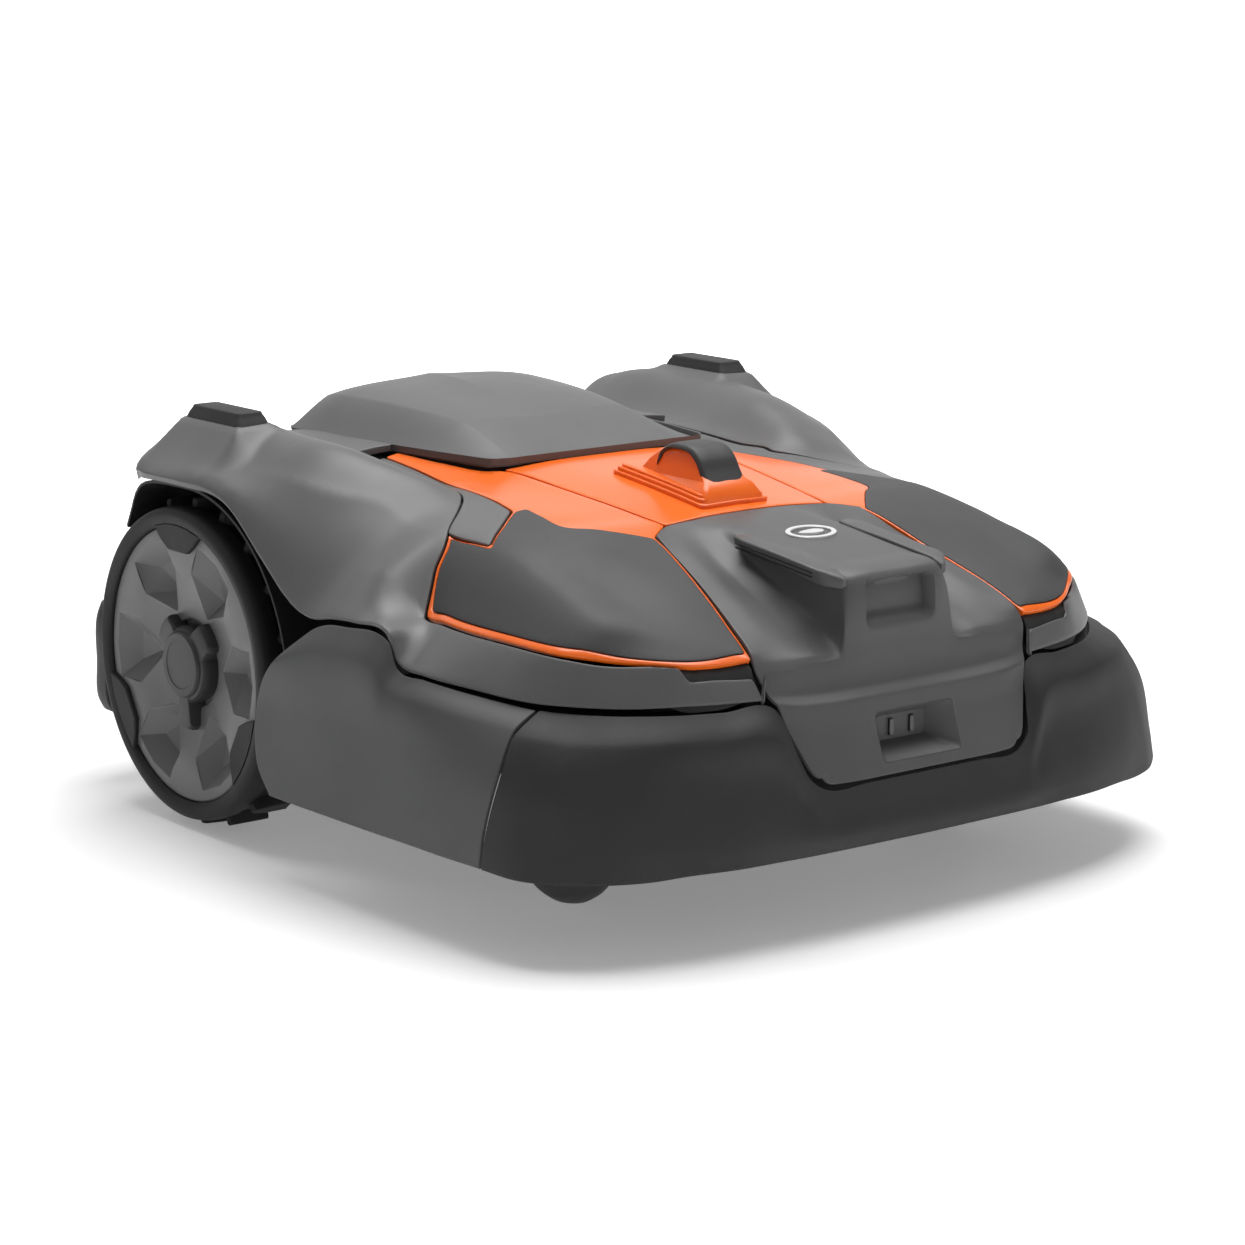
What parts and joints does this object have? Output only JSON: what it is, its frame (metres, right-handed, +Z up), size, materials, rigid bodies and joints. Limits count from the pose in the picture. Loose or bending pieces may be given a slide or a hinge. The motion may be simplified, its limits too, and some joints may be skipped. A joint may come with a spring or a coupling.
{
  "type": "robotic lawn mower",
  "caption": "Robotic lawn mower with driven rear wheels, swivel casters, floating body shell, hinged lid, stop button and pivoting-blade cutting disc.",
  "frame": {"origin": "centre of the footprint on the ground plane, under the middle of the overall box", "axes": "-Y is the front (driving direction), +Z up, +X the machine's left side; Y is the long axis"},
  "size_m": [0.714, 0.828, 0.3635],
  "materials": {
    "body_grey": "mid-grey moulded plastic, satin, fine grain",
    "panel_grey": "dark grey plastic, matte, fine grain",
    "skirt_grey": "dark grey tough plastic, matte",
    "bumper_black": "near-black soft plastic, matte",
    "black_plastic": "black structural plastic, matte",
    "dark_plastic": "charcoal glass-filled plastic, matte",
    "caster_plastic": "dark grey hard plastic wheel, satin",
    "button_black": "black soft-touch plastic",
    "orange_gloss": "glossy orange plastic",
    "rim_grey": "light mid-grey moulded plastic, satin",
    "black_rubber": "black moulded rubber, dull",
    "tyre_rubber": "black tyre rubber, dull, slightly worn",
    "steel": "bright steel, fine brushed",
    "cast_aluminium": "cast aluminium housing, dull",
    "silver_trim": "satin silver trim",
    "circuit_board": "green circuit board, semi-gloss"
  },
  "bodies": {
    "chassis": {"chassis": "black_plastic", "battery_pack_left": "dark_plastic", "battery_pack_right": "dark_plastic", "control_unit": "circuit_board", "wheel_motor_left": "cast_aluminium", "wheel_motor_right": "cast_aluminium", "float_post_front_left": "black_rubber", "float_post_front_right": "black_rubber", "float_post_rear_left": "black_rubber", "float_post_rear_right": "black_rubber"},
    "upper_body": {"body_frame": "black_plastic", "hood": "orange_gloss", "side_frame_left": "orange_gloss", "side_frame_right": "orange_gloss", "side_panel_left": "panel_grey", "side_panel_right": "panel_grey", "shoulder_insert_left": "body_grey", "shoulder_insert_right": "body_grey", "side_shell_left": "body_grey", "side_shell_right": "body_grey", "nose_cover": "body_grey", "charging_contacts": "steel", "visor_ear_left": "body_grey", "visor_ear_right": "body_grey", "nose_emblem": "silver_trim", "beacon_base": "orange_gloss", "rear_deck": "body_grey", "control_panel": "black_plastic", "keypad": "black_rubber", "lid_gasket": "black_rubber", "rear_bumper": "bumper_black", "front_bumper": "bumper_black", "side_skirt_left": "skirt_grey", "side_skirt_right": "skirt_grey", "wheel_housing_left": "black_plastic", "wheel_housing_right": "black_plastic", "grip_pad_left": "black_rubber", "grip_pad_right": "black_rubber"},
    "lid": {"lid": "body_grey"},
    "stop_button": {"stop_button": "button_black"},
    "drive_wheel_left": {"tyre_left": "tyre_rubber", "rim_left": "rim_grey", "hub_cap_left": "dark_plastic"},
    "drive_wheel_right": {"tyre_right": "tyre_rubber", "rim_right": "rim_grey", "hub_cap_right": "dark_plastic"},
    "caster_left": {"caster_fork_left": "dark_plastic"},
    "caster_roller_left": {"caster_wheel_left": "caster_plastic"},
    "caster_right": {"caster_fork_right": "dark_plastic"},
    "caster_roller_right": {"caster_wheel_right": "caster_plastic"},
    "cutting_unit": {"cutting_carriage": "dark_plastic", "cutting_motor": "cast_aluminium"},
    "spindle": {"height_spindle": "steel"},
    "disc": {"cutting_disc": "dark_plastic"},
    "blade_1": {"blade_1": "steel"},
    "blade_2": {"blade_2": "steel"},
    "blade_3": {"blade_3": "steel"},
    "blade_4": {"blade_4": "steel"},
    "blade_5": {"blade_5": "steel"},
    "skid": {"skid_plate": "dark_plastic"}
  },
  "joints": [
    {"name": "body_float", "type": "slide", "parent": "chassis", "child": "upper_body", "axis": [0, 1, 0], "range_m": [-0.005, 0.005], "stiffness_N_per_m": 3000},
    {"name": "lid_hinge", "type": "hinge", "parent": "upper_body", "child": "lid", "pos_m": [0, 0.316, 0.321], "axis": [-1, 0, 0], "range_deg": [0, 75]},
    {"name": "stop_press", "type": "slide", "parent": "upper_body", "child": "stop_button", "axis": [0, 0, -1], "range_m": [0, 0.004], "stiffness_N_per_m": 1500, "springref_m": -0.001},
    {"name": "drive_left", "type": "hinge", "parent": "chassis", "child": "drive_wheel_left", "pos_m": [0.302, 0.19, 0.145], "axis": [1, 0, 0], "continuous": true},
    {"name": "drive_right", "type": "hinge", "parent": "chassis", "child": "drive_wheel_right", "pos_m": [-0.302, 0.19, 0.145], "axis": [1, 0, 0], "continuous": true},
    {"name": "caster_swivel_left", "type": "hinge", "parent": "chassis", "child": "caster_left", "pos_m": [0.206, -0.24, 0.15], "axis": [0, 0, 1], "continuous": true},
    {"name": "caster_roll_left", "type": "hinge", "parent": "caster_left", "child": "caster_roller_left", "pos_m": [0.206, -0.202, 0.062], "axis": [1, 0, 0], "continuous": true},
    {"name": "caster_swivel_right", "type": "hinge", "parent": "chassis", "child": "caster_right", "pos_m": [-0.206, -0.24, 0.15], "axis": [0, 0, 1], "continuous": true},
    {"name": "caster_roll_right", "type": "hinge", "parent": "caster_right", "child": "caster_roller_right", "pos_m": [-0.206, -0.202, 0.062], "axis": [1, 0, 0], "continuous": true},
    {"name": "cutting_height", "type": "slide", "parent": "chassis", "child": "cutting_unit", "axis": [0, 0, 1], "range_m": [-0.03, 0.02]},
    {"name": "spindle_turn", "type": "hinge", "parent": "chassis", "child": "spindle", "pos_m": [0, -0.09, 0.15], "axis": [0, 0, 1], "range_deg": [-1080, 720]},
    {"name": "disc_spin", "type": "hinge", "parent": "cutting_unit", "child": "disc", "pos_m": [0, -0.01, 0.055], "axis": [0, 0, 1], "continuous": true},
    {"name": "blade_1_pivot", "type": "hinge", "parent": "disc", "child": "blade_1", "pos_m": [0, 0.085, 0.048], "axis": [0, 0, 1], "continuous": true},
    {"name": "blade_2_pivot", "type": "hinge", "parent": "disc", "child": "blade_2", "pos_m": [-0.09035, 0.01936, 0.048], "axis": [0, 0, 1], "continuous": true},
    {"name": "blade_3_pivot", "type": "hinge", "parent": "disc", "child": "blade_3", "pos_m": [-0.05584, -0.08686, 0.048], "axis": [0, 0, 1], "continuous": true},
    {"name": "blade_4_pivot", "type": "hinge", "parent": "disc", "child": "blade_4", "pos_m": [0.05584, -0.08686, 0.048], "axis": [0, 0, 1], "continuous": true},
    {"name": "blade_5_pivot", "type": "hinge", "parent": "disc", "child": "blade_5", "pos_m": [0.09035, 0.01936, 0.048], "axis": [0, 0, 1], "continuous": true},
    {"name": "skid_spin", "type": "hinge", "parent": "disc", "child": "skid", "pos_m": [0, -0.01, 0.045], "axis": [0, 0, 1], "continuous": true}
  ],
  "couplings": [
    {"joint": "spindle_turn", "follows": "cutting_height", "rad_per_m": 628.32}
  ]
}
